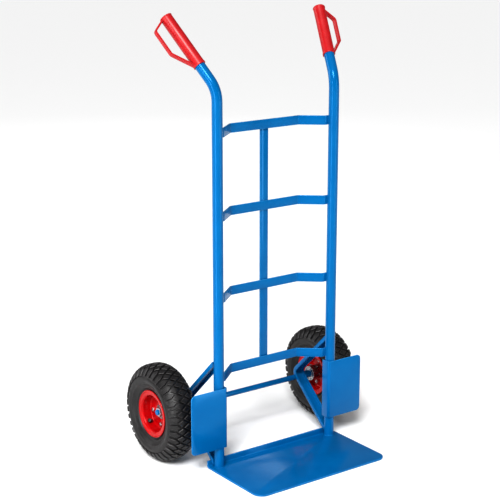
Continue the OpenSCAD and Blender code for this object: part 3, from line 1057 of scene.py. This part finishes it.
@dataclass
class Studio:
    """Pale floor, soft lights and camera.

    Attributes:
        azimuth: Camera's turn round the truck, in degrees.
        elevation: Camera's height above the horizon, in degrees.
        distance: Camera's distance from its aim.
        aim: Point that the camera and the area lights face.
        lens: Focal length in millimetres.
        sensor: Width of the camera's sensor in millimetres.
        floor_half: Half the floor's width.
        floor_drop: How far the floor lies below the truck's foot, so that the two don't flicker.
        floor_colour: sRGB colour of the floor.
        floor_rough: Roughness of the floor.
        surround: Strength of the white surround.
        key_energy: Strength of the key light.
        key_spread_deg: Apparent width of the key light.
        key_from: Direction that the key light comes from.
        gamma: The view's gamma.
    """

    azimuth: float = -36.09
    elevation: float = 14.76
    distance: float = 3.4157
    aim: tuple[float, float, float] = (-0.0849, 0.0, 0.5716)
    lens: float = 96.72
    sensor: float = 36.0
    floor_half: float = 60.0
    floor_drop: float = 0.5 * MM
    floor_colour: str = "f7f7f7"
    floor_rough: float = 0.9
    surround: float = 0.22
    key_energy: float = 3.7
    key_spread_deg: float = 20.0
    key_from: tuple[float, float, float] = (-0.9, -0.9, 1.2)
    gamma: float = 0.8

    def build(self) -> None:
        """Builds the camera, the floor and the lights."""
        self.camera()
        self.floor()
        self.world()
        self.key()
        for light in SOFT_LIGHTS:
            self.light(light)
        view = bpy.context.scene.view_settings
        view.view_transform = "Standard"
        view.gamma = self.gamma

    def camera(self) -> None:
        """Makes the camera and hands it to the scene."""
        turn, rise = math.radians(self.azimuth), math.radians(self.elevation)
        back = Vector((math.sin(turn) * math.cos(rise), -math.cos(turn) * math.cos(rise), math.sin(rise)))
        data = bpy.data.cameras.new("camera")
        data.lens = self.lens
        data.sensor_width = self.sensor
        made = bpy.data.objects.new("camera", data)
        made.location = Vector(self.aim) + back * self.distance
        made.rotation_euler = (-back).to_track_quat("-Z", "Y").to_euler()
        bpy.context.scene.collection.objects.link(made)
        bpy.context.scene.camera = made

    def floor(self) -> None:
        """Makes the pale floor."""
        shape = bmesh.new()
        bmesh.ops.create_grid(shape, x_segments=1, y_segments=1, size=self.floor_half)
        mesh = bpy.data.meshes.new("floor")
        shape.to_mesh(mesh)
        shape.free()
        paint = bpy.data.materials.new("floor_pale")
        paint.use_nodes = True
        shader = paint.node_tree.nodes["Principled BSDF"]
        shader.inputs["Base Color"].default_value = linear(self.floor_colour)
        shader.inputs["Roughness"].default_value = self.floor_rough
        mesh.materials.append(paint)
        made = bpy.data.objects.new("floor", mesh)
        made.location.z = -self.floor_drop
        bpy.context.scene.collection.objects.link(made)

    def world(self) -> None:
        """Makes the even white surround."""
        world = bpy.data.worlds.new("studio")
        world.use_nodes = True
        background = world.node_tree.nodes["Background"]
        background.inputs["Color"].default_value = linear("ffffff")
        background.inputs["Strength"].default_value = self.surround
        bpy.context.scene.world = world

    def key(self) -> None:
        """Makes the broad, soft key light that also keeps the floor even."""
        data = bpy.data.lights.new("key", "SUN")
        data.energy = self.key_energy
        data.angle = math.radians(self.key_spread_deg)
        made = bpy.data.objects.new("key", data)
        made.rotation_euler = Vector(self.key_from).to_track_quat("Z", "Y").to_euler()
        bpy.context.scene.collection.objects.link(made)

    def light(self, light: SoftLight) -> None:
        """Hangs one soft area light and turns it to the truck.

        Args:
            light: The light to hang.
        """
        data = bpy.data.lights.new(light.name, "AREA")
        data.shape = "RECTANGLE"
        data.size, data.size_y = light.size
        data.energy = light.power
        made = bpy.data.objects.new(light.name, data)
        made.location = light.place
        made.visible_camera = False
        made.rotation_euler = (Vector(light.place) - Vector(self.aim)).to_track_quat("Z", "Y").to_euler()
        bpy.context.scene.collection.objects.link(made)


def dress_nodes() -> None:
    """Gives every CAD node that still shows the finish of its slot."""
    for name, node in frame["nodes"].items():
        node.data.materials.clear()
        node.data.materials.append(SLOT_FINISH[NODE_SLOT[name]].material())


def main() -> None:
    """Builds the truck's looks, piece by piece."""
    logging.basicConfig(level=logging.INFO, format="%(message)s")
    Studio().build()
    dress_nodes()
    WeldedFrame().build()
    Axle().build()
    Grips().build()
    for side in Side:
        Wheel(side).build()


if __name__ == "__main__":
    main()
